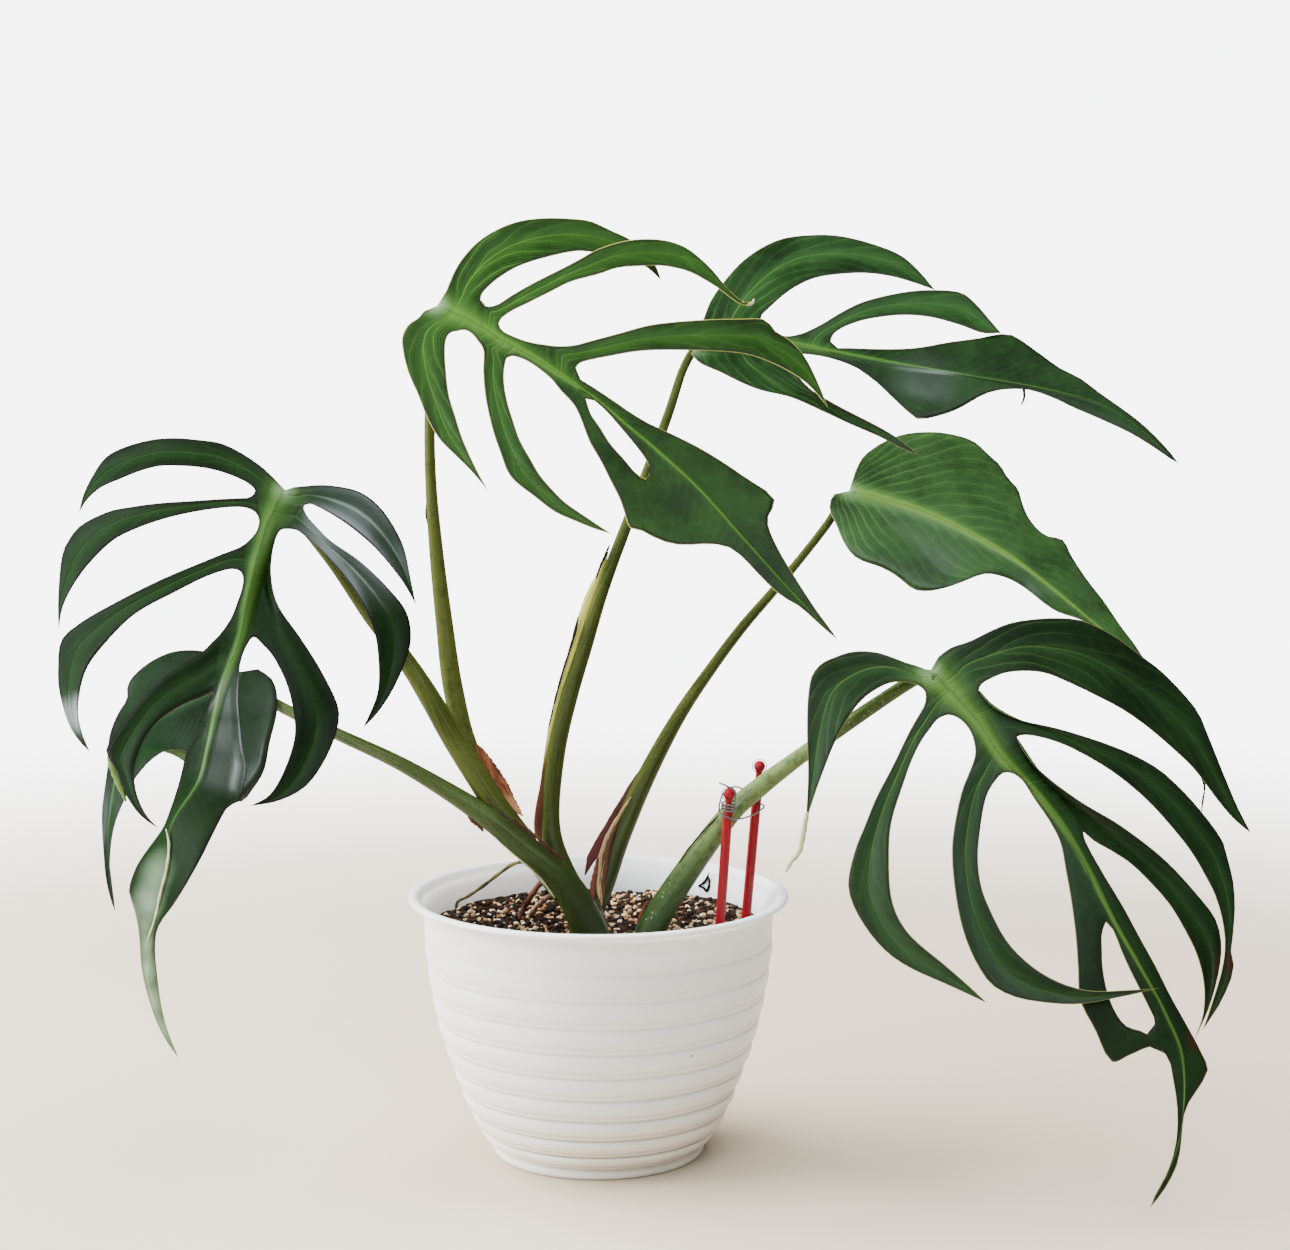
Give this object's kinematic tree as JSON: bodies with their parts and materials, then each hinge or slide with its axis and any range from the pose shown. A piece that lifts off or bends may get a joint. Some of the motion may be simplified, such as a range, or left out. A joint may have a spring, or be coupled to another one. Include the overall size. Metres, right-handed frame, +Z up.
{
  "type": "potted flame monstera",
  "caption": "Houseplant with long arching stems and large leaves cut into narrow fingers, standing in gritty soil in a white ribbed pot, with red support stakes and a wire tie.",
  "frame": {"origin": "centre of the pot's flat base, on the surface that the pot stands on", "axes": "+Z up, -Y the front that the picture faces, +X to the right as seen from the front"},
  "size_m": [0.5578, 0.2501, 0.4442],
  "materials": {
    "pot_plastic": "satin white",
    "soil_mix": "dry gritty potting mix",
    "crown_bark": "dull ringed stem",
    "petiole_olive": "smooth satin green",
    "petiole_pale": "smooth satin, pale and speckled",
    "blade_bright": "glossy leaf with pale veins",
    "blade_dark": "glossy leaf with pale veins",
    "sheath_rust": "dry papery sheath",
    "sheath_pale": "thin papery sheath",
    "sheath_brown": "dry papery sheath",
    "root_bark": "matt rough root",
    "stake_red": "glossy red",
    "wire_dark": "dark coated wire"
  },
  "bodies": {
    "root": {"pot": "pot_plastic", "soil": "soil_mix", "crown": "crown_bark", "petiole_1": "petiole_olive", "petiole_2": "petiole_olive", "petiole_3": "petiole_olive", "petiole_4": "petiole_pale", "petiole_5": "petiole_olive", "petiole_6": "petiole_olive", "leaf_1": "blade_bright", "leaf_2": "blade_dark", "leaf_3": "blade_dark", "leaf_4": "blade_dark", "leaf_5": "blade_dark", "leaf_6": "blade_dark", "sheath_1": "sheath_rust", "sheath_2": "sheath_pale", "sheath_3": "sheath_brown", "root_1": "root_bark", "root_2": "root_bark", "root_3": "root_bark", "stake_front": "stake_red", "stake_back": "stake_red", "tie_loop": "wire_dark", "tie_coil": "wire_dark"}
  },
  "joints": []
}
